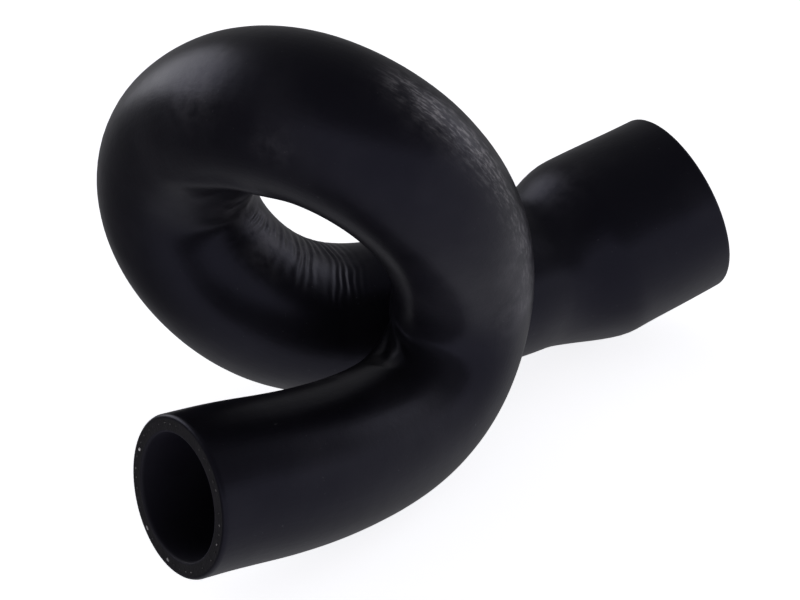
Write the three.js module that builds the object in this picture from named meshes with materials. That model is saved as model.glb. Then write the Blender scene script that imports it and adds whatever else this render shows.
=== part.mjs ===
// Moulded rubber coolant hose: one solid wall of rubber round one open bore.
// It leaves its small end level, doubles back over itself in one rising loop,
// comes down again behind and runs out under the loop to a wider, flared end.
// Millimetres, +Z up, lying on its side as it comes to rest, lowest line at Z = 0.

import * as THREE from 'three';
import { mergeVertices } from 'three/addons/utils/BufferGeometryUtils.js';

// ---- Driving dimensions ----
const WALL = 4.45;               // rubber wall, the same along the whole hose
const FLARE_RATIO = 1.3793;      // large end over the body it grows from
const FLARE_FROM = 64.5;         // the flare begins this far before the large end
const FLARE_TO = 33.9;           // and is full size this far before it
const RIM_OUTSIDE = 1.0;         // rounding of the outer edge of each cut end
const RIM_INSIDE = 0.6;          // rounding of the inner edge of each cut end
const CREASE_DEPTH = 2.0;        // fold pressed into the inside of the first bend
const CREASE_SLOPE = 3.6;        // how far it takes to reach that depth
const CREASE_LIP = 1.0;          // height of the ridge beside it
const PINCH_DEPTH = 3.2;         // broad hollow on the inside of the upper bend
const PINCH_SLOPE = 8.0;         // how far it takes to reach that depth
const PINCH_LIP = 0.7;           // height of the ridge above it
const CREASE_IN_BORE = 0.7;      // how much of a fold shows in the bore

// ---- Resolution ----
const SIDES = 36;                // flats round the hose
const MAX_TURN = 0.30;           // most that the hose turns between two sections, radians
const LONGEST_STEP = 13;         // longest gap between two sections
const CREASE_STEP = 3.2;         // gap between the sections that cross a fold
const CREASE_SPANS = [[70, 122], [206, 260]];   // the stretches that the folds cross

// Centre line of the hose from the small end to the large end, one station
// every 13.67 mm, each with the outer radius of the body there.
const STATIONS = [
  [-113.54, -38.63, 29.22, 20.44],
  [-100.02, -38.88, 27.23, 20.72],
  [-86.58, -39.54, 24.88, 20.77],
  [-73.09, -39.47, 22.74, 20.66],
  [-59.58, -38.26, 21.04, 20.44],
  [-46.09, -36.30, 20.20, 20.19],
  [-32.80, -33.85, 21.88, 19.95],
  [-21.08, -31.42, 28.24, 19.80],
  [-14.00, -30.24, 39.65, 19.77],
  [-13.72, -31.36, 53.11, 19.85],
  [-18.63, -34.32, 65.46, 20.03],
  [-25.86, -37.63, 76.57, 20.27],
  [-34.11, -39.28, 87.29, 20.55],
  [-43.07, -37.04, 97.27, 20.85],
  [-51.63, -29.72, 104.80, 21.13],
  [-58.11, -18.31, 108.17, 21.38],
  [-61.75, -5.26, 107.10, 21.61],
  [-63.18, 7.54, 102.62, 21.81],
  [-63.50, 19.36, 95.80, 22.00],
  [-63.36, 29.64, 86.85, 22.18],
  [-62.42, 36.55, 75.21, 22.35],
  [-59.80, 37.54, 61.98, 22.54],
  [-54.94, 33.48, 49.94, 22.73],
  [-47.34, 28.49, 39.78, 22.93],
  [-37.11, 24.88, 31.54, 23.12],
  [-25.13, 21.57, 25.95, 23.28],
  [-12.51, 17.01, 23.56, 23.41],
  [-0.06, 11.41, 23.97, 23.50],
  [12.44, 6.13, 25.55, 23.53],
  [25.60, 2.64, 26.29, 23.50],
  [39.19, 1.33, 25.94, 23.42],
  [52.82, 0.78, 26.54, 23.30],
  [66.05, -0.75, 29.51, 23.15],
  [78.63, -3.86, 33.81, 23.00],
  [90.96, -7.79, 38.21, 22.86],
  [103.35, -11.43, 42.67, 22.74],
];

// The bottom of each fold, a line on the skin: first bend, then upper bend.
const CREASE_LINE = [
  [-28.0, -17.9, 49.5],
  [-28.9, -18.3, 45.4],
  [-30.9, -21.0, 43.6],
  [-33.0, -23.6, 42.2],
  [-35.6, -26.7, 41.1],
  [-37.9, -29.8, 40.8],
  [-39.7, -32.7, 40.7],
  [-40.6, -35.3, 40.6],
  [-41.2, -37.3, 40.4],
];
const PINCH_LINE = [
  [-80.3, 7.7, 86.6],
  [-78.9, 4.1, 87.1],
  [-77.4, 0.2, 87.8],
  [-76.1, -3.8, 88.7],
  [-75.1, -8.4, 90.0],
  [-73.8, -12.2, 90.5],
  [-72.2, -14.2, 90.2],
];
// at: places along the line, 0 and 1 at its ends; share, ridge: the part of the
// full depth and of the full ridge there; span: the stretch a fold can touch.
const FOLDS = [
  {
    line: CREASE_LINE,
    depth: CREASE_DEPTH,
    lip: CREASE_LIP,
    at: [-0.3, 0, 0.15, 0.5, 0.8, 1.05],
    share: [0.3, 0.7, 1, 1, 0.6, 0],
    ridge: [0.1, 0.5, 0.9, 1, 0.6, 0],
    wall: 0.8,
    slope: CREASE_SLOPE,
    tail: 4,
    lipAt: 2.2,
    lipWide: 1.4,
    span: [66, 72, 118, 126],
  },
  {
    line: PINCH_LINE,
    depth: PINCH_DEPTH,
    lip: PINCH_LIP,
    at: [-0.35, 0, 0.3, 0.6, 0.9, 1.2, 1.6],
    share: [0, 0.16, 0.56, 0.94, 1, 0.62, 0],
    ridge: [0, 0.3, 0.57, 0.86, 1, 0.57, 0],
    wall: 1.6,
    slope: PINCH_SLOPE,
    tail: 15,
    lipAt: 2.6,
    lipWide: 2.8,
    span: [200, 212, 250, 264],
  },
].map((fold) => ({ ...fold, points: fold.line.map((p) => new THREE.Vector3(...p)) }));

// ---- The centre line and the radius along it ----
const centre = new THREE.CatmullRomCurve3(
  STATIONS.map(([x, y, z]) => new THREE.Vector3(x, y, z)), false, 'centripetal');
const bodyRadius = new THREE.SplineCurve(
  STATIONS.map(([, , , radius], i) => new THREE.Vector2(i, radius)));

const SAMPLES = 2000;
const along = [0];               // distance from the small end at each sample
const samplePoints = centre.getPoints(SAMPLES);
for (let i = 1; i <= SAMPLES; i++) {
  along.push(along[i - 1] + samplePoints[i].distanceTo(samplePoints[i - 1]));
}
const LENGTH = along[SAMPLES];

// Curve parameter, from 0 to 1, at a distance from the small end.
function parameterAt(distance) {
  let low = 0;
  let high = SAMPLES;
  while (high - low > 1) {
    const middle = (low + high) >> 1;
    if (along[middle] <= distance) low = middle; else high = middle;
  }
  const share = (distance - along[low]) / (along[high] - along[low]);
  return THREE.MathUtils.clamp((low + share) / SAMPLES, 0, 1);
}

function outerRadius(distance) {
  const flare = THREE.MathUtils.smoothstep(distance, LENGTH - FLARE_FROM, LENGTH - FLARE_TO);
  return bodyRadius.getPoint(parameterAt(distance)).y * (1 + (FLARE_RATIO - 1) * flare);
}

// ---- Where the sections stand: closer where the hose bends ----
function stepAt(distance) {
  const reach = 3;
  const before = centre.getTangent(parameterAt(Math.max(0, distance - reach)));
  const after = centre.getTangent(parameterAt(Math.min(LENGTH, distance + reach)));
  const bend = before.angleTo(after) / (2 * reach);
  let step = Math.min(LONGEST_STEP, MAX_TURN / Math.max(bend, 1e-6));
  if (distance > LENGTH - FLARE_FROM && distance < LENGTH - FLARE_TO) step = Math.min(step, 5);
  for (const [from, to] of CREASE_SPANS) {
    if (distance > from && distance < to) step = Math.min(step, CREASE_STEP);
  }
  return step;
}

const sections = [0, 0.3 * RIM_OUTSIDE, 1.1 * RIM_OUTSIDE];
{
  const first = sections[2];
  const last = LENGTH - first;
  const count = 800;
  const steps = [0];
  for (let i = 0; i < count; i++) {
    const here = first + (last - first) * (i + 0.5) / count;
    steps.push(steps[i] + (last - first) / count / stepAt(here));
  }
  const gaps = Math.round(steps[count]);
  for (let k = 1; k <= gaps; k++) {
    const target = steps[count] * k / gaps;
    let i = 1;
    while (i < count && steps[i] < target) i++;
    const share = (target - steps[i - 1]) / (steps[i] - steps[i - 1]);
    sections.push(first + (last - first) * (i - 1 + share) / count);
  }
  sections.push(LENGTH - 0.3 * RIM_OUTSIDE, LENGTH);
}

// A frame that turns with the hose without twisting about it.
const frames = [];
sections.forEach((distance, k) => {
  const t = parameterAt(distance);
  const origin = centre.getPoint(t);
  const tangent = centre.getTangent(t);
  const side = k === 0 ? new THREE.Vector3(0, 0, 1) : frames[k - 1].side.clone();
  side.addScaledVector(tangent, -side.dot(tangent)).normalize();
  const other = new THREE.Vector3().crossVectors(tangent, side);
  frames.push({ origin, side, other, distance });
});

// How far the cut end's rounding takes the edge back, at a distance from it.
function rounding(fromEnd, radius) {
  if (fromEnd >= radius) return 0;
  return radius - Math.sqrt(Math.max(0, radius * radius - (radius - fromEnd) ** 2));
}

function valueAt(places, values, x) {
  if (x <= places[0]) return values[0];
  for (let i = 1; i < places.length; i++) {
    if (x < places[i]) {
      return THREE.MathUtils.mapLinear(x, places[i - 1], places[i], values[i - 1], values[i]);
    }
  }
  return values[values.length - 1];
}

// How far the folds press the skin in at a point of it, less where they raise it.
function foldDepthAt(point, outward, distance) {
  const { smoothstep } = THREE.MathUtils;
  let total = 0;
  for (const fold of FOLDS) {
    const [from, full, leave, to] = fold.span;
    const reach = smoothstep(distance, from, full) * (1 - smoothstep(distance, leave, to));
    if (reach === 0) continue;
    const { points } = fold;
    const last = points.length - 2;
    let near = Infinity;
    let across = 0;              // distance across the line, positive on the ridge's side
    for (let i = 0; i <= last; i++) {
      const way = points[i + 1].clone().sub(points[i]);
      const length = way.length();
      way.divideScalar(length);
      const gap = point.clone().sub(points[i]);
      const t = THREE.MathUtils.clamp(gap.dot(way), i === 0 ? -9 : 0, i === last ? length + 9 : length);
      gap.addScaledVector(way, -t);
      if (gap.length() < near) {
        near = gap.length();
        across = near * Math.sign(gap.dot(way.cross(outward).negate()));
      }
    }
    const chord = points[last + 1].clone().sub(points[0]);
    const place = point.clone().sub(points[0]).dot(chord) / chord.lengthSq();
    const hollow = smoothstep(-across, -fold.wall, fold.slope)
      * Math.exp(-((Math.max(-across - fold.slope, 0) / fold.tail) ** 2));
    const ridge = Math.exp(-(((across - fold.lipAt) / fold.lipWide) ** 2));
    if (near < 40) total += reach * fold.depth * valueAt(fold.at, fold.share, place) * hollow;
    if (near < 12) total -= reach * fold.lip * valueAt(fold.at, fold.ridge, place) * ridge;
  }
  return total;
}

// ---- The solid: a ring-shaped section carried along the centre line ----
const section = new THREE.Shape();
section.absarc(0, 0, 1, 0, 2 * Math.PI, false);
const boreOutline = new THREE.Path();
boreOutline.absarc(0, 0, 0.5, 0, 2 * Math.PI, true);
section.holes.push(boreOutline);

let geometry = new THREE.ExtrudeGeometry(section, {
  depth: 1,
  steps: sections.length - 1,
  curveSegments: SIDES / 2,
  bevelEnabled: false,
});
geometry.deleteAttribute('uv');
geometry.deleteAttribute('normal');

const place = geometry.getAttribute('position');
const point = new THREE.Vector3();
const skin = new THREE.Vector3();
for (let i = 0; i < place.count; i++) {
  point.fromBufferAttribute(place, i);
  const { origin, side, other, distance } = frames[Math.round(point.z * (sections.length - 1))];
  const outside = Math.hypot(point.x, point.y) > 0.75;
  const angle = Math.atan2(point.y, point.x);
  const fromEnd = Math.min(distance, LENGTH - distance);
  const outward = side.clone().multiplyScalar(Math.cos(angle)).addScaledVector(other, Math.sin(angle));
  const outer = outerRadius(distance);
  skin.copy(origin).addScaledVector(outward, outer);
  const fold = foldDepthAt(skin, outward, distance);
  const radius = outside
    ? outer - fold - rounding(fromEnd, RIM_OUTSIDE)
    : outer - WALL - CREASE_IN_BORE * Math.max(fold, 0) + rounding(fromEnd, RIM_INSIDE);
  point.copy(origin).addScaledVector(outward, radius);
  place.setXYZ(i, point.x, point.y, point.z);
}
geometry = mergeVertices(geometry, 1e-4);

// The origin is the middle of the hose's outline at the level it lies on.
geometry.computeBoundingBox();
const { min, max } = geometry.boundingBox;
geometry.translate(-(min.x + max.x) / 2, -(min.y + max.y) / 2, -min.z);
geometry.computeVertexNormals();

const hose = new THREE.Mesh(geometry, new THREE.MeshStandardMaterial({
  name: 'hose_rubber',
  color: 0x1b1a20,
  roughness: 0.48,
  metalness: 0,
}));
hose.name = 'hose';

const coolantHose = new THREE.Group();
coolantHose.add(hose);

export default coolantHose;
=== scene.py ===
import math

import bpy
import numpy as np
from mathutils import Matrix, Vector


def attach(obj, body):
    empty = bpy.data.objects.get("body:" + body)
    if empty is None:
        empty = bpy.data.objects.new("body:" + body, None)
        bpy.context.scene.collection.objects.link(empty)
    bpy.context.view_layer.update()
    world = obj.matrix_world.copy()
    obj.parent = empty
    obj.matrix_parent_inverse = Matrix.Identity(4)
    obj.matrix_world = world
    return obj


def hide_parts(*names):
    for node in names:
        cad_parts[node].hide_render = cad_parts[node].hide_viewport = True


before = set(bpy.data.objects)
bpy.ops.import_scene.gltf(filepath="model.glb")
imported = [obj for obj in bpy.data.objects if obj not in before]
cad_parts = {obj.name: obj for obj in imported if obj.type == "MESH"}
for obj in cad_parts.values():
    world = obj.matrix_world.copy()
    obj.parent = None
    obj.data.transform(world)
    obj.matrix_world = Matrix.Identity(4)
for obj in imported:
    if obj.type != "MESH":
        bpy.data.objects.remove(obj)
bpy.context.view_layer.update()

MM = 0.001
rng = np.random.default_rng(7)

# ---------------------------------------------------------------------------
# Camera, at the photograph's viewing angle (image taken as 800 x 600)
# ---------------------------------------------------------------------------
CAMERA_AT = np.array([-265.108, -289.154, 227.178])
CAMERA_FORWARD = np.array([0.593864, 0.670731, -0.444349])
CAMERA_RIGHT = np.array([0.757196, -0.652636, 0.026844])
FOCAL_PIXELS = 1434.73

back = -CAMERA_FORWARD / np.linalg.norm(CAMERA_FORWARD)
right = CAMERA_RIGHT - back * (CAMERA_RIGHT @ back)
right /= np.linalg.norm(right)
up = np.cross(back, right)
camera_data = bpy.data.cameras.new("camera")
camera_data.sensor_fit = "HORIZONTAL"
camera_data.sensor_width = 36.0
camera_data.lens = FOCAL_PIXELS / 800.0 * 36.0
camera_data.clip_start = 0.01
camera_data.clip_end = 50.0
camera = bpy.data.objects.new("camera", camera_data)
bpy.context.scene.collection.objects.link(camera)
turn = Matrix(((right[0], up[0], back[0]), (right[1], up[1], back[1]), (right[2], up[2], back[2])))
camera.matrix_world = Matrix.Translation(Vector(CAMERA_AT * MM)) @ turn.to_4x4()
bpy.context.scene.camera = camera

# ---------------------------------------------------------------------------
# The hose: the same stations as the CAD, in millimetres
# ---------------------------------------------------------------------------
WALL = 4.45
FLARE_RATIO = 1.3793
FLARE_FROM = 64.5
FLARE_TO = 33.9
SHIFT = np.array([0.132, 0.078, 0.035])   # from the stations to the row's origin

STATIONS = np.array([
    [-113.54, -38.63, 29.22, 20.44],
    [-100.02, -38.88, 27.23, 20.72],
    [-86.58, -39.54, 24.88, 20.77],
    [-73.09, -39.47, 22.74, 20.66],
    [-59.58, -38.26, 21.04, 20.44],
    [-46.09, -36.30, 20.20, 20.19],
    [-32.80, -33.85, 21.88, 19.95],
    [-21.08, -31.42, 28.24, 19.80],
    [-14.00, -30.24, 39.65, 19.77],
    [-13.72, -31.36, 53.11, 19.85],
    [-18.63, -34.32, 65.46, 20.03],
    [-25.86, -37.63, 76.57, 20.27],
    [-34.11, -39.28, 87.29, 20.55],
    [-43.07, -37.04, 97.27, 20.85],
    [-51.63, -29.72, 104.80, 21.13],
    [-58.11, -18.31, 108.17, 21.38],
    [-61.75, -5.26, 107.10, 21.61],
    [-63.18, 7.54, 102.62, 21.81],
    [-63.50, 19.36, 95.80, 22.00],
    [-63.36, 29.64, 86.85, 22.18],
    [-62.42, 36.55, 75.21, 22.35],
    [-59.80, 37.54, 61.98, 22.54],
    [-54.94, 33.48, 49.94, 22.73],
    [-47.34, 28.49, 39.78, 22.93],
    [-37.11, 24.88, 31.54, 23.12],
    [-25.13, 21.57, 25.95, 23.28],
    [-12.51, 17.01, 23.56, 23.41],
    [-0.06, 11.41, 23.97, 23.50],
    [12.44, 6.13, 25.55, 23.53],
    [25.60, 2.64, 26.29, 23.50],
    [39.19, 1.33, 25.94, 23.42],
    [52.82, 0.78, 26.54, 23.30],
    [66.05, -0.75, 29.51, 23.15],
    [78.63, -3.86, 33.81, 23.00],
    [90.96, -7.79, 38.21, 22.86],
    [103.35, -11.43, 42.67, 22.74],
])

# The bottom of each fold: on the inside of the first bend, and of the upper bend.
# depth, lip: how deep the fold and how high the ridge beside it are along the line.
CREASE_LINE = np.array([
    [-28.0, -17.9, 49.5],
    [-28.9, -18.3, 45.4],
    [-30.9, -21.0, 43.6],
    [-33.0, -23.6, 42.2],
    [-35.6, -26.7, 41.1],
    [-37.9, -29.8, 40.8],
    [-39.7, -32.7, 40.7],
    [-40.6, -35.3, 40.6],
    [-41.2, -37.3, 40.4],
]) + SHIFT
PINCH_LINE = np.array([
    [-80.3, 7.7, 86.6],
    [-78.9, 4.1, 87.1],
    [-77.4, 0.2, 87.8],
    [-76.1, -3.8, 88.7],
    [-75.1, -8.4, 90.0],
    [-73.8, -12.2, 90.5],
    [-72.2, -14.2, 90.2],
]) + SHIFT
# span: the stretch of the hose, by distance along it, that a fold can touch.
FOLDS = [
    {"line": CREASE_LINE, "at": [-0.3, 0, 0.15, 0.5, 0.8, 1.05], "depth": [0.6, 1.4, 2.0, 2.0, 1.2, 0.0],
     "lip": [0.1, 0.5, 0.9, 1.0, 0.6, 0.0], "wall": 0.8, "slope": 3.6, "tail": 4.0, "lip_at": 2.2,
     "lip_wide": 1.4, "span": (66, 72, 118, 126)},
    {"line": PINCH_LINE, "at": [-0.35, 0, 0.3, 0.6, 0.9, 1.2, 1.6], "depth": [0.0, 0.5, 1.8, 3.0, 3.2, 2.0, 0.0],
     "lip": [0.0, 0.2, 0.4, 0.6, 0.7, 0.4, 0.0], "wall": 1.6, "slope": 8.0, "tail": 15.0, "lip_at": 2.6,
     "lip_wide": 2.8, "span": (200, 212, 250, 264)},
]


def spline(x, y):
    """Natural cubic spline through (x, y), y with one or more columns; returns a function."""
    y = np.asarray(y, float).reshape(len(x), -1)
    n = len(x)
    h = np.diff(x)
    a = np.zeros((n, n))
    b = np.zeros((n, y.shape[1]))
    a[0, 0] = a[-1, -1] = 1.0
    for i in range(1, n - 1):
        a[i, i - 1], a[i, i], a[i, i + 1] = h[i - 1], 2 * (h[i - 1] + h[i]), h[i]
        b[i] = 6 * ((y[i + 1] - y[i]) / h[i] - (y[i] - y[i - 1]) / h[i - 1])
    m = np.linalg.solve(a, b)

    def value(t):
        t = np.clip(np.asarray(t, float), x[0], x[-1])
        i = np.clip(np.searchsorted(x, t) - 1, 0, n - 2)
        u = (t - x[i])[:, None]
        w = (x[i + 1] - t)[:, None]
        hh = h[i][:, None]
        return (m[i] * w ** 3 + m[i + 1] * u ** 3) / (6 * hh) \
            + (y[i] / hh - m[i] * hh / 6) * w + (y[i + 1] / hh - m[i + 1] * hh / 6) * u
    return value


chord = np.r_[0, np.cumsum(np.linalg.norm(np.diff(STATIONS[:, :3], axis=0), axis=1))]
route = spline(chord, STATIONS[:, :3] + SHIFT)
body = spline(chord, STATIONS[:, 3])
fine = np.linspace(0, chord[-1], 4001)
fine_p = route(fine)
fine_s = np.r_[0, np.cumsum(np.linalg.norm(np.diff(fine_p, axis=0), axis=1))]
LENGTH = fine_s[-1]
fine_t = np.gradient(fine_p, fine_s, axis=0)
fine_t /= np.linalg.norm(fine_t, axis=1)[:, None]
fine_bend = np.linalg.norm(np.gradient(fine_t, fine_s, axis=0), axis=1)
side0 = np.array([0, 0, 1.0])
fine_n = np.zeros_like(fine_p)
for i in range(len(fine_p)):
    v = side0 if i == 0 else fine_n[i - 1]
    v = v - (v @ fine_t[i]) * fine_t[i]
    fine_n[i] = v / np.linalg.norm(v)
fine_b = np.cross(fine_t, fine_n)


def smooth(x, lo, hi):
    t = np.clip((x - lo) / (hi - lo), 0, 1)
    return t * t * (3 - 2 * t)


def outer_radius(s):
    flare = smooth(s, LENGTH - FLARE_FROM, LENGTH - FLARE_TO)
    return body(np.interp(s, fine_s, fine))[:, 0] * (1 + (FLARE_RATIO - 1) * flare)


def frames(s):
    pick = lambda a: np.stack([np.interp(s, fine_s, a[:, j]) for j in range(3)], 1)
    p, t, n, b = pick(fine_p), pick(fine_t), pick(fine_n), pick(fine_b)
    unit = lambda a: a / np.linalg.norm(a, axis=1)[:, None]
    return p, unit(t), unit(n), unit(b)


def sections(zones, base, turn_limit, lo, hi):
    """Distances along the hose, closer together in bends and in the given zones."""
    x = np.linspace(lo, hi, 6001)
    bend = np.interp(x, fine_s, fine_bend)
    step = np.minimum(base, turn_limit / np.maximum(bend, 1e-6))
    for a, b, gap in zones:
        edge = smooth(x, a - 4, a) * (1 - smooth(x, b, b + 4))
        step = np.minimum(step, gap + (base - gap) * (1 - edge))
    c = np.r_[0, np.cumsum(np.diff(x) / (0.5 * (step[1:] + step[:-1])))]
    count = int(round(c[-1]))
    return np.interp(np.linspace(0, c[-1], count + 1), c, x)


# ---- Value noise on a lattice, seeded, for soft irregular shape ----
lattice = rng.random((32, 32, 32))


def noise3(p, scale):
    q = p / scale
    i = np.floor(q).astype(int)
    f = q - i
    f = f * f * (3 - 2 * f)
    out = 0
    for dx in (0, 1):
        for dy in (0, 1):
            for dz in (0, 1):
                w = (f[..., 0] if dx else 1 - f[..., 0]) * (f[..., 1] if dy else 1 - f[..., 1]) \
                    * (f[..., 2] if dz else 1 - f[..., 2])
                out = out + w * lattice[(i[..., 0] + dx) % 32, (i[..., 1] + dy) % 32, (i[..., 2] + dz) % 32]
    return out - 0.5


def distance_to(line, p, normal):
    """Distance, signed distance across the line, and share of its length, of skin points p."""
    best = np.full(p.shape[:-1], 1e9)
    signed = np.zeros(p.shape[:-1])
    share = np.zeros(p.shape[:-1])
    total = np.r_[0, np.cumsum(np.linalg.norm(np.diff(line, axis=0), axis=1))]
    for k in range(len(line) - 1):
        a, b = line[k], line[k + 1]
        d = b - a
        length = np.linalg.norm(d)
        d = d / length
        t = np.clip((p - a) @ d, 0 if k else -9.0, length if k < len(line) - 2 else length + 9.0)
        gap = p - (a + t[..., None] * d)
        dist = np.linalg.norm(gap, axis=-1)
        sign = np.sign((gap * np.cross(normal, d)).sum(-1))
        take = dist < best
        best = np.where(take, dist, best)
        signed = np.where(take, sign * dist, signed)
        share = np.where(take, (total[k] + t) / total[-1], share)
    return best, signed, share


def fold_reach(fold, s):
    a, b, c, d = fold["span"]
    return smooth(s, a, b) * (1 - smooth(s, c, d))


def fold_offset(p, normal, s):
    """How far the folds push the skin in (negative) or raise it (positive)."""
    total = 0
    for fold in FOLDS:
        best, signed, share = distance_to(fold["line"], p, normal)
        chord_way = fold["line"][-1] - fold["line"][0]
        share = (p - fold["line"][0]) @ chord_way / (chord_way @ chord_way)
        depth = np.interp(share, fold["at"], fold["depth"])
        lip = np.interp(share, fold["at"], fold["lip"])
        groove = smooth(-signed, -fold["wall"], fold["slope"])
        groove = groove * np.exp(-(np.maximum(-signed - fold["slope"], 0) / fold["tail"]) ** 2)
        ridge = np.exp(-((signed - fold["lip_at"]) / fold["lip_wide"]) ** 2)
        total = total + (lip * ridge * (best < 12) - depth * groove * (best < 40)) * fold_reach(fold, s)
    return total


def fold_in_bore(p, normal, s):
    return -0.7 * np.minimum(fold_offset(p, normal, s), 0)


RIPPLE_PITCH = 3.9


def ripple(s, theta, p):
    """Moulding ripples on the side of the lower run that faces the loop's eye."""
    centre = np.interp(s, [290, 300, 318, 337, 353, 372], [298, 292, 280, 269, 263, 262])
    width = np.interp(s, [290, 305, 320, 345, 372], [20, 26, 32, 34, 30])
    off = (theta - centre + 180) % 360 - 180
    round_ = np.exp(-(off / width) ** 4)
    along = smooth(s, 284, 300) * (1 - smooth(s, 328, 362))
    phase = 2 * np.pi * (s + 3.0 * noise3(p, 12.0)) / RIPPLE_PITCH + 3.6 * noise3(p + 70, 4.6)
    wave = np.sin(phase) + 0.35 * np.sin(0.53 * phase + 1.0)
    strength = np.clip(0.115 + 0.38 * noise3(p + 30, 6.0), 0.012, 0.28)
    return strength * wave * round_ * along


def hose_surface():
    around = 200
    theta = np.arange(around) / around * 2 * np.pi
    s_out = sections([(284, 370, 0.55), (70, 118, 0.85), (210, 246, 0.9)], 2.7, 0.075, 1.4, LENGTH - 1.4)
    rim = np.array([0.0, 0.06, 0.22, 0.5, 0.9])
    s_out = np.r_[rim, s_out, LENGTH - rim[::-1]]
    p, t, n, b = frames(s_out)
    r = outer_radius(s_out)
    out = np.cos(theta)[None, :, None] * n[:, None] + np.sin(theta)[None, :, None] * b[:, None]
    skin = p[:, None] + r[:, None, None] * out
    deg = np.degrees(theta)[None, :] + 0 * s_out[:, None]
    ss = s_out[:, None] + 0 * theta[None, :]
    offset = fold_offset(skin, out, ss) + ripple(ss, deg, skin)
    offset = offset + 0.22 * noise3(skin, 21.0) + 0.05 * noise3(skin, 6.0)
    from_end = np.minimum(s_out, LENGTH - s_out)
    edge = np.clip(1.0 - from_end / 1.0, 0, 1)
    rounding = 1.0 - np.sqrt(np.maximum(0, 1 - edge ** 2))
    calm = smooth(from_end, 1.0, 8.0)
    radius = r[:, None] - rounding[:, None] + offset * calm[:, None]
    outer = p[:, None] + radius[..., None] * out

    s_in = sections([(72, 118, 1.8), (210, 246, 1.8)], 5.0, 0.10, 1.0, LENGTH - 1.0)
    rim = np.array([0.0, 0.08, 0.3])
    s_in = np.r_[rim, s_in, LENGTH - rim[::-1]]
    around_in = 100
    theta_in = np.arange(around_in) / around_in * 2 * np.pi
    p, t, n, b = frames(s_in)
    r_in = outer_radius(s_in)
    out = np.cos(theta_in)[None, :, None] * n[:, None] + np.sin(theta_in)[None, :, None] * b[:, None]
    skin = p[:, None] + r_in[:, None, None] * out
    dent = fold_in_bore(skin, out, s_in[:, None] + 0 * theta_in[None, :])
    from_end = np.minimum(s_in, LENGTH - s_in)
    edge = np.clip(1.0 - from_end / 0.6, 0, 1)
    rounding = 0.6 * (1.0 - np.sqrt(np.maximum(0, 1 - edge ** 2)))
    radius = r_in[:, None] - WALL + rounding[:, None] - dent + 0.10 * noise3(skin, 14.0) * smooth(from_end, 1, 6)[:, None]
    inner = p[:, None] + radius[..., None] * out
    return s_out, theta, outer, s_in, theta_in, inner


s_out, theta_out, outer, s_in, theta_in, inner = hose_surface()


def build_hose():
    verts = []
    faces = []
    kinds = []          # 0 outside, 1 bore, 2 cut face
    uvs = []            # per face corner: (distance along, angle) in mm and turns
    no, na = outer.shape[:2]
    verts.append(outer.reshape(-1, 3))
    ro = np.arange(no * na).reshape(no, na)
    turn = np.arange(na + 1) / na
    for i in range(no - 1):
        for j in range(na):
            k = (j + 1) % na
            faces.append((ro[i, j], ro[i, k], ro[i + 1, k], ro[i + 1, j]))
            kinds.append(0)
            uvs.append(((s_out[i], turn[j]), (s_out[i], turn[j + 1]), (s_out[i + 1], turn[j + 1]), (s_out[i + 1], turn[j])))
    ni, nb = inner.shape[:2]
    base = no * na
    verts.append(inner.reshape(-1, 3))
    ri = base + np.arange(ni * nb).reshape(ni, nb)
    turn_in = np.arange(nb + 1) / nb
    for i in range(ni - 1):
        for j in range(nb):
            k = (j + 1) % nb
            faces.append((ri[i, j], ri[i + 1, j], ri[i + 1, k], ri[i, k]))
            kinds.append(1)
            uvs.append(((s_in[i], turn_in[j]), (s_in[i + 1], turn_in[j]), (s_in[i + 1], turn_in[j + 1]), (s_in[i], turn_in[j + 1])))
    # Cut faces: rings of points across the wall, slightly uneven as cut with a knife
    count = base + ni * nb
    for end, (row_o, row_i) in enumerate(((0, 0), (no - 1, ni - 1))):
        outer_ring = outer[row_o]
        inner_ring = inner[row_i]
        s_end = 0.0 if end == 0 else LENGTH
        p, t, n, b = frames(np.array([s_end]))
        away = -t[0] if end == 0 else t[0]
        idx = [list(ro[row_o])]
        shares = [0.12, 0.3, 0.5, 0.7, 0.88]
        inner_full = np.empty_like(outer_ring)
        step = na // nb
        for j in range(na):
            a = inner_ring[(j // step) % nb]
            c = inner_ring[(j // step + 1) % nb]
            inner_full[j] = a + (c - a) * (j % step) / step
        for sh in shares:
            ring = outer_ring + (inner_full - outer_ring) * sh
            ring = ring + away[None] * (0.10 * noise3(ring * 1.0, 3.1) + 0.05 * noise3(ring + 50, 1.2))[:, None] - away[None] * 0.03
            verts.append(ring)
            idx.append(list(range(count, count + na)))
            count += na
        for q in range(len(idx) - 1):
            for j in range(na):
                k = (j + 1) % na
                f = (idx[q][j], idx[q + 1][j], idx[q + 1][k], idx[q][k])
                faces.append(f if end == 0 else f[::-1])
                kinds.append(2)
                uvs.append(((s_end, turn[j]),) * 4)
        last = idx[-1]
        for j in range(nb):
            a, c, e = last[j * step], last[j * step + 1], last[(j * step + step) % na]
            g, h = ri[row_i, j], ri[row_i, (j + 1) % nb]
            for f in ((a, g, c), (c, g, h), (c, h, e)):
                faces.append(f if end == 0 else f[::-1])
                kinds.append(2)
                uvs.append(((s_end, turn_in[j]),) * 3)
    verts = np.concatenate(verts) * MM
    mesh = bpy.data.meshes.new("hose_body")
    mesh.from_pydata([tuple(v) for v in verts], [], [tuple(int(x) for x in f) for f in faces])
    layer = mesh.uv_layers.new(name="along")
    flat = np.array([c for f in uvs for c in f], float)
    flat[:, 0] /= 100.0
    layer.data.foreach_set("uv", flat.astype(np.float32).ravel())
    mesh.polygons.foreach_set("use_smooth", [True] * len(faces))
    mesh.polygons.foreach_set("material_index", kinds)
    mesh.update()
    return mesh, verts / MM


hose_mesh, hose_points = build_hose()


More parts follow.
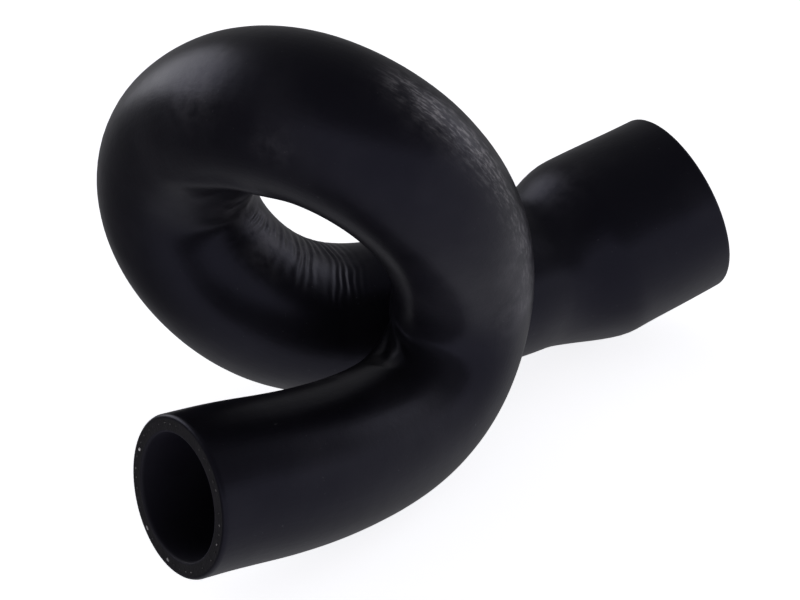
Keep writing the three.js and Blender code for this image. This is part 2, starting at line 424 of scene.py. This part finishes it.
# ---------------------------------------------------------------------------
# Masks carried by the mesh: where dust, scuffs and rubbed places lie, and where a highlight is painted on the rippled
# side
# ---------------------------------------------------------------------------
def blob(points, centre, radius, power=2.0):
    d = np.linalg.norm(points - np.array(centre, float), axis=1)
    return np.exp(-(d / radius) ** power)


DUST = [
    ((-82.2, -1.5, 120.5), 9.0, 0.45),
    ((-75.1, -3.8, 124.0), 6.0, 0.35),
    ((-43.7, -47.9, 116.8), 7.0, 0.30),
    ((-37.7, -52.2, 110.5), 7.0, 0.35),
    ((-48.0, -41.4, 122.2), 7.0, 0.16),
    ((-58.4, 10.0, 76.0), 7.0, 0.35),
    ((-46.3, 19.4, 66.2), 8.0, 0.60),
    ((-47.0, 13.7, 59.1), 7.0, 0.45),
    ((-63.0, -29.6, 39.9), 6.0, 0.30),
    ((-55.9, -31.8, 40.2), 5.0, 0.30),
    ((-14.4, -54.7, 73.4), 10.0, 0.30),
    ((-9.0, -51.1, 55.8), 10.0, 0.25),
    ((55.7, 2.1, 57.3), 9.0, 0.25),
    ((-76.7, -29.1, 108.4), 4.5, 0.16),
]
dust_and_highlight = np.zeros(len(hose_points))
for centre, radius, value in DUST:
    dust_and_highlight = np.maximum(dust_and_highlight, value * blob(hose_points, centre, radius))


def skin_point(s, degrees):
    p, t, n, b = frames(np.array([float(s)]))
    a = math.radians(degrees)
    return p[0] + outer_radius(np.array([float(s)]))[0] * (math.cos(a) * n[0] + math.sin(a) * b[0])


# painted highlight on the rippled side: a pale colour put into the dust mask in place of the bright reflection there;
# distance along, angle, radius, strength
for s_at, degrees, radius, value in ((285, 285, 6.5, 0.80), (294, 280, 7.5, 0.9), (303, 284, 7.0, 0.9),
                                     (305, 270, 6.0, 0.7), (317, 272, 7.0, 0.75), (325, 262, 6.0, 0.6),
                                     (337, 256, 7.0, 0.45)):
    dust_and_highlight = np.maximum(dust_and_highlight, value * blob(hose_points, skin_point(s_at, degrees), radius))
attribute = hose_mesh.attributes.new("dust_and_highlight", "FLOAT", "POINT")
attribute.data.foreach_set("value", dust_and_highlight.astype(np.float32))

# a thin even bloom in the sheltered places inside the loop
BLOOM = [((-7.5, -52.4, 55.8), 7.0, 0.9), ((-11.0, -55.0, 66.0), 7.0, 1.0), ((-14.4, -56.0, 77.0), 7.0, 0.8),
         ((-35.5, -42.6, 57.5), 13.0, 1.0), ((-30.3, -40.7, 47.5), 9.0, 0.8), ((-42.9, -47.5, 68.8), 9.0, 0.6)]
bloom = np.zeros(len(hose_points))
for centre, radius, value in BLOOM:
    bloom = np.maximum(bloom, value * blob(hose_points, centre, radius))
for s_at, degrees, radius, value in ((300, 335, 14.0, 0.5), (315, 330, 16.0, 0.8)):
    bloom = np.maximum(bloom, value * blob(hose_points, skin_point(s_at, degrees), radius))
attribute = hose_mesh.attributes.new("bloom", "FLOAT", "POINT")
attribute.data.foreach_set("value", bloom.astype(np.float32))

# a lengthwise rubbed band on the outer side of the first bend and up over the loop
SCUFF = np.array([(-9.0, -51.1, 55.8), (-14.4, -54.7, 73.4), (-26.0, -56.0, 93.0), (-37.7, -52.2, 110.5),
                  (-43.7, -47.9, 116.8), (-48.0, -41.4, 122.2)]) + (1.5, -1.3, 0.0)
SCUFF_STRENGTH = (0.14, 0.18, 0.30, 0.85, 1.0, 0.5)
scuff = np.zeros(len(hose_points))
for a, c, from_, to in zip(SCUFF[:-1], SCUFF[1:], SCUFF_STRENGTH[:-1], SCUFF_STRENGTH[1:]):
    share = np.clip((hose_points - a) @ (c - a) / ((c - a) @ (c - a)), 0, 1)
    gap = np.linalg.norm(hose_points - a - share[:, None] * (c - a), axis=1)
    scuff = np.maximum(scuff, (from_ + (to - from_) * share) * np.exp(-(gap / 4.6) ** 2))
attribute = hose_mesh.attributes.new("scuff", "FLOAT", "POINT")
attribute.data.foreach_set("value", scuff.astype(np.float32))


# ---------------------------------------------------------------------------
# Materials
# ---------------------------------------------------------------------------
class Nodes:
    """Small helper that builds a node tree."""

    def __init__(self, tree):
        self.tree = tree

    def add(self, kind, **settings):
        node = self.tree.nodes.new(kind)
        for key, value in settings.items():
            if key.startswith("in_"):
                node.inputs[key[3:].replace("_", " ")].default_value = value
            else:
                setattr(node, key, value)
        return node

    def link(self, a, b):
        self.tree.links.new(a, b)

    def math(self, operation, a, b=None, c=None, clamp=False):
        node = self.tree.nodes.new("ShaderNodeMath")
        node.operation = operation
        node.use_clamp = clamp
        for k, v in enumerate((a, b, c)):
            if v is None:
                continue
            if isinstance(v, (int, float)):
                node.inputs[k].default_value = v
            else:
                self.link(v, node.inputs[k])
        return node.outputs[0]

    def ramp(self, value, stops):
        node = self.tree.nodes.new("ShaderNodeValToRGB")
        node.color_ramp.interpolation = "EASE"
        while len(node.color_ramp.elements) > 1:
            node.color_ramp.elements.remove(node.color_ramp.elements[-1])
        for k, (pos, col) in enumerate(stops):
            e = node.color_ramp.elements[0] if k == 0 else node.color_ramp.elements.new(pos)
            e.position = pos
            e.color = (*col, 1) if isinstance(col, tuple) else (col, col, col, 1)
        self.link(value, node.inputs[0])
        return node.outputs[0]


def new_material(name):
    material = bpy.data.materials.new(name)
    material.use_nodes = True
    tree = material.node_tree
    tree.nodes.clear()
    n = Nodes(tree)
    output = n.add("ShaderNodeOutputMaterial")
    shader = n.add("ShaderNodeBsdfPrincipled")
    n.link(shader.outputs[0], output.inputs[0])
    return material, n, shader


def mix_colour(n, factor, a, b):
    node = n.tree.nodes.new("ShaderNodeMix")
    node.data_type = "RGBA"
    for socket, v in ((node.inputs[0], factor), (node.inputs[6], a), (node.inputs[7], b)):
        if isinstance(v, (int, float)):
            socket.default_value = v
        elif isinstance(v, tuple):
            socket.default_value = (*v, 1)
        else:
            n.link(v, socket)
    return node.outputs[2]


def rubber_material():
    material, n, shader = new_material("hose_rubber_outside")
    where = n.add("ShaderNodeTexCoord").outputs["Object"]
    uv = n.add("ShaderNodeUVMap", uv_map="along").outputs[0]
    dust_and_highlight_mask = n.add("ShaderNodeAttribute", attribute_name="dust_and_highlight").outputs["Fac"]

    def noise(scale, detail=4.0, rough=0.55, vector=None):
        node = n.add("ShaderNodeTexNoise", in_Scale=scale, in_Detail=detail, in_Roughness=rough)
        n.link(vector if vector is not None else where, node.inputs["Vector"])
        return node.outputs["Fac"]

    # lengthwise streaks: the along coordinate is squeezed, the angle is stretched
    stretch = n.add("ShaderNodeMapping", vector_type="POINT")
    stretch.inputs["Scale"].default_value = (3.0, 70.0, 1.0)
    n.link(uv, stretch.inputs["Vector"])
    streaks = noise(1.0, 3.0, 0.6, stretch.outputs[0])

    broad = noise(38.0, 3.0, 0.5)
    mottle = noise(230.0, 5.0, 0.6)
    grain = noise(1500.0, 4.0, 0.65)
    speck = noise(900.0, 2.0, 0.5)

    # dust, and the painted highlight on the rippled side: only in the marked places and faintly elsewhere, broken up
    # by the mottle
    marked = n.math("MULTIPLY", dust_and_highlight_mask, n.ramp(mottle, [(0.30, 0.1), (0.68, 1.0)]))
    film = n.math("MULTIPLY", n.ramp(broad, [(0.45, 0.0), (0.75, 1.0)]), 0.04)
    scuff_mask = n.add("ShaderNodeAttribute", attribute_name="scuff").outputs["Fac"]
    squeeze = n.add("ShaderNodeMapping", vector_type="POINT")
    squeeze.inputs["Scale"].default_value = (38.0, 130.0, 1.0)
    n.link(uv, squeeze.inputs["Vector"])
    flecks = noise(1.0, 5.0, 0.7, squeeze.outputs[0])
    flecks = n.ramp(flecks, [(0.46, 0.0), (0.62, 1.0)])
    rubbed = n.math("MULTIPLY", scuff_mask, n.math("MULTIPLY_ADD", flecks, 1.0, 0.10))
    rubbed = n.math("MULTIPLY", rubbed, n.ramp(mottle, [(0.34, 0.2), (0.58, 1.0)]))
    dust_and_highlight_amount = n.math("ADD", marked, film)
    dust_and_highlight_amount = n.math("ADD", dust_and_highlight_amount, rubbed, clamp=True)
    specks = n.ramp(speck, [(0.735, 0.0), (0.78, 1.0)])

    dark = mix_colour(n, broad, (0.0033, 0.0030, 0.0046), (0.0048, 0.0044, 0.0065))
    bloom_mask = n.add("ShaderNodeAttribute", attribute_name="bloom").outputs["Fac"]
    dark = mix_colour(n, n.math("MULTIPLY", bloom_mask, 0.85), dark, (0.0125, 0.0120, 0.0165))
    # pale dust colour; where the mask holds the rippled side's painted highlight, this pale colour is painted
    # reflection
    colour = mix_colour(n, n.math("MULTIPLY", dust_and_highlight_amount, 0.75), dark, (0.150, 0.144, 0.160))
    colour = mix_colour(n, n.math("MULTIPLY", rubbed, 0.75), colour, (0.30, 0.285, 0.29))
    colour = mix_colour(n, n.math("MULTIPLY", specks, 0.35), colour, (0.07, 0.068, 0.075))
    n.link(colour, shader.inputs["Base Color"])

    rough = n.math("MULTIPLY_ADD", mottle, 0.10, 0.26)
    rough = n.math("MULTIPLY_ADD", streaks, 0.04, rough)
    rough = n.math("MULTIPLY_ADD", dust_and_highlight_amount, 0.12, rough, clamp=True)
    n.link(rough, shader.inputs["Roughness"])
    shader.inputs["Specular IOR Level"].default_value = 0.22
    shader.inputs["Specular Tint"].default_value = (0.70, 0.70, 1.0, 1)
    shader.inputs["Metallic"].default_value = 0.0

    # relief: fine orange-peel of the rubber, faint lengthwise streaks, grit in the dust
    height = n.math("MULTIPLY", grain, 0.25)
    height = n.math("MULTIPLY_ADD", mottle, 0.8, height)
    height = n.math("MULTIPLY_ADD", streaks, 0.45, height)
    height = n.math("ADD", height, n.math("MULTIPLY", n.math("MULTIPLY", grain, dust_and_highlight_amount), 0.5))
    bump = n.add("ShaderNodeBump", in_Strength=0.35, in_Distance=0.00022)
    n.link(height, bump.inputs["Height"])
    n.link(bump.outputs[0], shader.inputs["Normal"])
    return material


def bore_material():
    material, n, shader = new_material("hose_rubber_bore")
    where = n.add("ShaderNodeTexCoord").outputs["Object"]
    noise = n.add("ShaderNodeTexNoise", in_Scale=160.0, in_Detail=4.0)
    n.link(where, noise.inputs["Vector"])
    n.link(mix_colour(n, noise.outputs["Fac"], (0.0085, 0.0078, 0.0130), (0.0130, 0.0120, 0.0185)), shader.inputs["Base Color"])
    n.link(n.math("MULTIPLY_ADD", noise.outputs["Fac"], 0.2, 0.5), shader.inputs["Roughness"])
    shader.inputs["Specular IOR Level"].default_value = 0.14
    bump = n.add("ShaderNodeBump", in_Strength=0.3, in_Distance=0.0002)
    n.link(noise.outputs["Fac"], bump.inputs["Height"])
    n.link(bump.outputs[0], shader.inputs["Normal"])
    return material


def cut_material():
    material, n, shader = new_material("hose_rubber_cut")
    where = n.add("ShaderNodeTexCoord").outputs["Object"]
    coarse = n.add("ShaderNodeTexNoise", in_Scale=300.0, in_Detail=5.0, in_Roughness=0.65)
    fine_ = n.add("ShaderNodeTexNoise", in_Scale=1700.0, in_Detail=3.0)
    n.link(where, coarse.inputs["Vector"])
    n.link(where, fine_.inputs["Vector"])
    n.link(mix_colour(n, coarse.outputs["Fac"], (0.0035, 0.0030, 0.0042), (0.0100, 0.0090, 0.0118)), shader.inputs["Base Color"])
    n.link(n.math("MULTIPLY_ADD", coarse.outputs["Fac"], 0.2, 0.52), shader.inputs["Roughness"])
    shader.inputs["Specular IOR Level"].default_value = 0.25
    height = n.math("MULTIPLY_ADD", fine_.outputs["Fac"], 0.5, coarse.outputs["Fac"])
    bump = n.add("ShaderNodeBump", in_Strength=0.6, in_Distance=0.0003)
    n.link(height, bump.inputs["Height"])
    n.link(bump.outputs[0], shader.inputs["Normal"])
    return material


def yarn_material(name, pale):
    material, n, shader = new_material(name)
    where = n.add("ShaderNodeTexCoord").outputs["Object"]
    noise = n.add("ShaderNodeTexNoise", in_Scale=260.0, in_Detail=3.0)
    n.link(where, noise.inputs["Vector"])
    n.link(n.ramp(noise.outputs["Fac"], [(0.36, (0.030 * pale, 0.028 * pale, 0.030 * pale)), (0.50, (0.16 * pale, 0.155 * pale, 0.16 * pale)), (0.64, (0.50 * pale, 0.48 * pale, 0.48 * pale))]), shader.inputs["Base Color"])
    n.link(n.math("MULTIPLY_ADD", noise.outputs["Fac"], 0.2, 0.6), shader.inputs["Roughness"])
    shader.inputs["Specular IOR Level"].default_value = 0.3
    bump = n.add("ShaderNodeBump", in_Strength=0.5, in_Distance=0.0002)
    n.link(noise.outputs["Fac"], bump.inputs["Height"])
    n.link(bump.outputs[0], shader.inputs["Normal"])
    return material


for material in (rubber_material(), bore_material(), cut_material()):
    hose_mesh.materials.append(material)
hose = bpy.data.objects.new("hose_body", hose_mesh)
bpy.context.scene.collection.objects.link(hose)
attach(hose, "root")
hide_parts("hose")


# ---- Yarn ends: short cut threads in the middle of the wall, at both ends ----
def yarn_ends():
    verts, faces, kinds = [], [], []
    for end in (0, 1):
        s_end = 0.0 if end == 0 else LENGTH
        p, t, n, b = frames(np.array([s_end]))
        away = -t[0] if end == 0 else t[0]
        radius = outer_radius(np.array([s_end]))[0]
        middle = radius - WALL * 0.47
        count = int(round(2 * np.pi * middle / 2.7))
        frayed = [round(v / 360 * count) for v in ((287, 216, 180) if end == 0 else (70, 205))]
        for k in range(count):
            angle = 2 * np.pi * (k + 0.30 * (rng.random() - 0.5)) / count
            r = middle + 0.35 * (rng.random() - 0.5)
            size = 0.13 + 0.12 * rng.random()
            bright = k in frayed
            if bright:
                size = 0.42
            elif rng.random() < 0.3:
                continue
            long_ = size * (1.2 + 1.1 * rng.random())
            out = np.cos(angle) * n[0] + np.sin(angle) * b[0]
            tang = -np.sin(angle) * n[0] + np.cos(angle) * b[0]
            centre = p[0] + r * out + away * 0.015
            base = len(verts)
            ring = 8
            for j in range(ring):
                a = 2 * np.pi * j / ring
                w = 1 + 0.25 * (rng.random() - 0.5)
                verts.append(centre + w * (size * np.cos(a) * out + long_ * np.sin(a) * tang) - away * 0.10)
            for j in range(ring):
                a = 2 * np.pi * j / ring
                w = 0.6 + 0.25 * (rng.random() - 0.5)
                verts.append(centre + w * (size * np.cos(a) * out + long_ * np.sin(a) * tang) + away * (0.06 + 0.05 * rng.random()))
            top = len(verts)
            verts.append(centre + away * 0.13)
            low = len(verts)
            verts.append(centre - away * 0.2)
            for j in range(ring):
                q = (j + 1) % ring
                fs = [(base + j, base + q, base + ring + q, base + ring + j), (base + ring + j, base + ring + q, top), (base + q, base + j, low)]
                faces.extend(fs if end else [f[::-1] for f in fs])
                kinds.extend([int(bright)] * len(fs))
    mesh = bpy.data.meshes.new("yarn_ends")
    mesh.from_pydata([tuple(v * MM) for v in verts], [], faces)
    mesh.polygons.foreach_set("use_smooth", [True] * len(faces))
    mesh.update()
    mesh.polygons.foreach_set("material_index", kinds)
    mesh.materials.append(yarn_material("yarn_ends", 0.35))
    mesh.materials.append(yarn_material("yarn_frayed", 1.6))
    obj = bpy.data.objects.new("yarn_ends", mesh)
    bpy.context.scene.collection.objects.link(obj)
    return obj


yarn = yarn_ends()
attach(yarn, "root")

# ---------------------------------------------------------------------------
# Floor and light
# ---------------------------------------------------------------------------
floor_mesh = bpy.data.meshes.new("floor")
half = 6.0
floor_mesh.from_pydata([(-half, -half, 0), (half, -half, 0), (half, half, 0), (-half, half, 0)], [], [(0, 1, 2, 3)])
floor_material, n, shader = new_material("floor_pale")
shader.inputs["Base Color"].default_value = (0.86, 0.86, 0.87, 1)
shader.inputs["Roughness"].default_value = 0.9
shader.inputs["Specular IOR Level"].default_value = 0.1
shader.inputs["Emission Color"].default_value = (0.98, 0.98, 1.0, 1)
shader.inputs["Emission Strength"].default_value = 0.84
floor_mesh.materials.append(floor_material)
floor = bpy.data.objects.new("floor", floor_mesh)
floor.location = (0, 0, -0.0002)
floor.visible_glossy = False      # the rubber's sheen comes from the studio's surround below
bpy.context.scene.collection.objects.link(floor)

# The studio: an even dim surround, one broad soft box to the back left, a paler strip behind right.
world = bpy.data.worlds.new("studio")
bpy.context.scene.world = world
world.use_nodes = True
tree = world.node_tree
tree.nodes.clear()
n = Nodes(tree)
out_node = n.add("ShaderNodeOutputWorld")
background = n.add("ShaderNodeBackground")
# seen directly, past the floor's far edge, the surround is one plain pale tone
backdrop = n.add("ShaderNodeBackground")
backdrop.inputs["Color"].default_value = (0.90, 0.90, 0.91, 1)
backdrop.inputs["Strength"].default_value = 0.95
either = n.add("ShaderNodeMixShader")
n.link(n.add("ShaderNodeLightPath").outputs["Is Camera Ray"], either.inputs[0])
n.link(background.outputs[0], either.inputs[1])
n.link(backdrop.outputs[0], either.inputs[2])
n.link(either.outputs[0], out_node.inputs[0])
direction = n.add("ShaderNodeTexCoord").outputs["Generated"]
def toward(azimuth, elevation):
    a, e = math.radians(azimuth), math.radians(elevation)
    return np.array([math.cos(e) * math.cos(a), math.cos(e) * math.sin(a), math.sin(e)])


def along_direction(vector):
    dot = n.tree.nodes.new("ShaderNodeVectorMath")
    dot.operation = "DOT_PRODUCT"
    n.link(direction, dot.inputs[0])
    dot.inputs[1].default_value = tuple(float(v) for v in vector)
    return dot.outputs["Value"]


def step_up(value, lo, hi, low=0.0, high=1.0):
    node = n.add("ShaderNodeMapRange", interpolation_type="SMOOTHSTEP")
    for name, v in (("From Min", lo), ("From Max", hi), ("To Min", low), ("To Max", high)):
        node.inputs[name].default_value = v
    n.link(value, node.inputs["Value"])
    return node.outputs[0]


def round_box(azimuth, elevation, half, edge, strength):
    dot = along_direction(toward(azimuth, elevation))
    return step_up(dot, math.cos(math.radians(half + edge)), math.cos(math.radians(half - edge)), 0.0, strength)


# a pale wall all round up to about 25 degrees, brighter on the camera's side, dimmer above
height_in_room = along_direction((0, 0, 1))
front = step_up(along_direction((math.cos(math.radians(-85)), math.sin(math.radians(-85)), 0)), -0.30, 0.55, 0.0, 0.46)
wall = n.math("MULTIPLY", front, step_up(height_in_room, math.sin(math.radians(16)), math.sin(math.radians(28)), 1.0, 0.0))
wall = n.math("MULTIPLY", wall, step_up(height_in_room, -0.95, -0.60, 0.45, 1.0))
under = step_up(height_in_room, -0.95, -0.75, 0.42, 0.24)
surround = n.math("ADD", under, step_up(height_in_room, -0.20, 0.35, 0.0, -0.05))
corner = step_up(along_direction(toward(140, -14)), math.cos(math.radians(52)), math.cos(math.radians(20)), 1.0, 0.35)
level = n.math("ADD", wall, n.math("MULTIPLY", surround, corner))
# the wall's top edge catches more light
brim = n.math("MULTIPLY", step_up(height_in_room, 0.10, 0.20), step_up(height_in_room, 0.26, 0.36, 1.0, 0.0))
level = n.math("ADD", level, n.math("MULTIPLY", n.math("MULTIPLY", brim, front), 0.65))
# the main soft box, behind left, its lower edge level with the hose's top
main = round_box(111, 15, 25.0, 3.5, 2.2)
lower = np.cross(toward(100, 1), toward(140, 13))
lower = lower / np.linalg.norm(lower)
lower = lower if lower[2] > 0 else -lower
main = n.math("MULTIPLY", main, step_up(along_direction(lower), -0.02, 0.05))
level = n.math("ADD", level, main)
# a second one in front right
level = n.math("ADD", level, round_box(-6, 24, 14, 6, 1.35))
n.link(level, background.inputs["Strength"])
background.inputs["Color"].default_value = (0.98, 0.98, 1.02, 1)

view = bpy.context.scene.view_settings
view.view_transform = "Standard"
view.look = "None"
view.exposure = 0.0
view.gamma = 1.0
